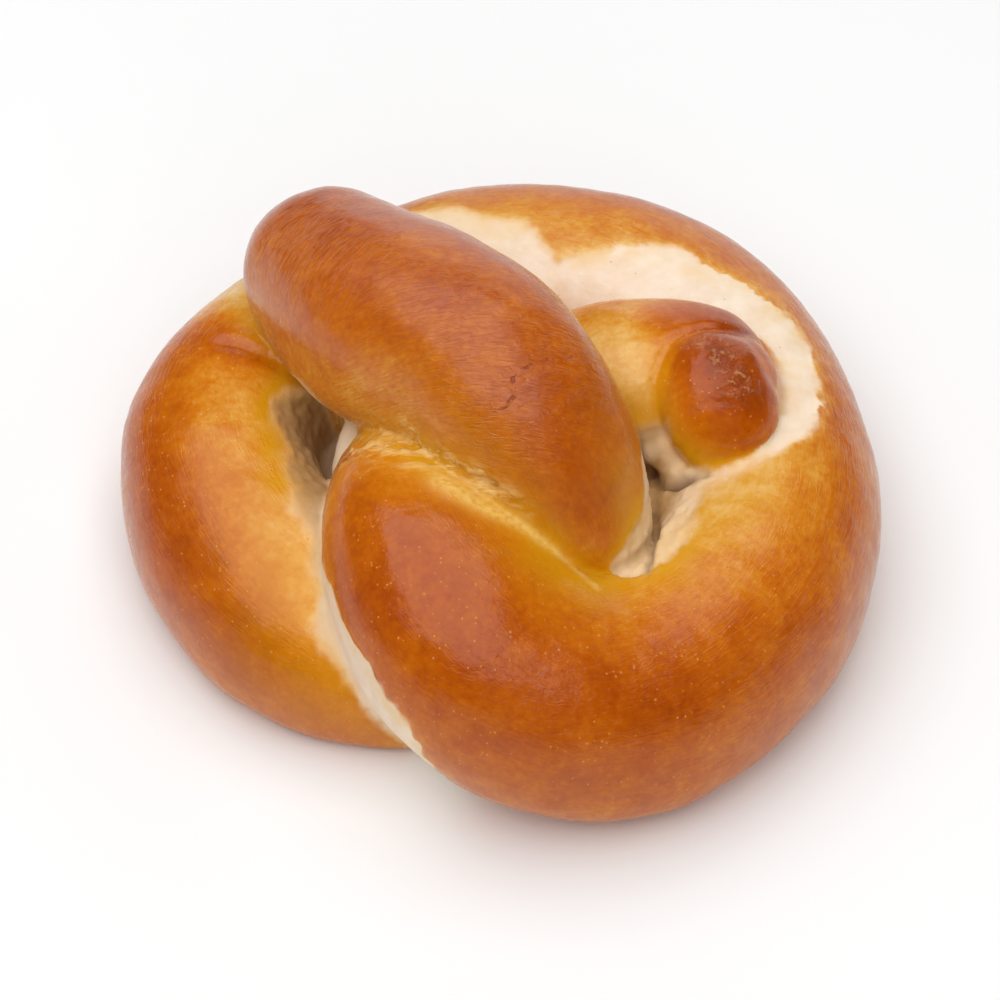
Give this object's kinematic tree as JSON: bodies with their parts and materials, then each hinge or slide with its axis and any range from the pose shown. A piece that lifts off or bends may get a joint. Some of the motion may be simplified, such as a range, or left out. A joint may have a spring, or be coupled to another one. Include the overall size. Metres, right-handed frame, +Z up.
{
  "type": "pretzel knot roll",
  "caption": "Glazed bread roll tied in a knot from a thick rope of dough, with a button end inside the loop and a free end laid across the top.",
  "frame": {"origin": "on the surface that the roll rests on, under the middle of its outline", "axes": "+Z up out of the knot, +X towards the button end, +Y from the front bulge to the back of the ring"},
  "size_m": [0.1062, 0.1058, 0.0512],
  "materials": {
    "crust": "egg-washed golden brown bread crust, softly glossy, with pale bare dough where the strands rose apart"
  },
  "bodies": {
    "root": {"pretzel_knot": "crust"}
  },
  "joints": []
}
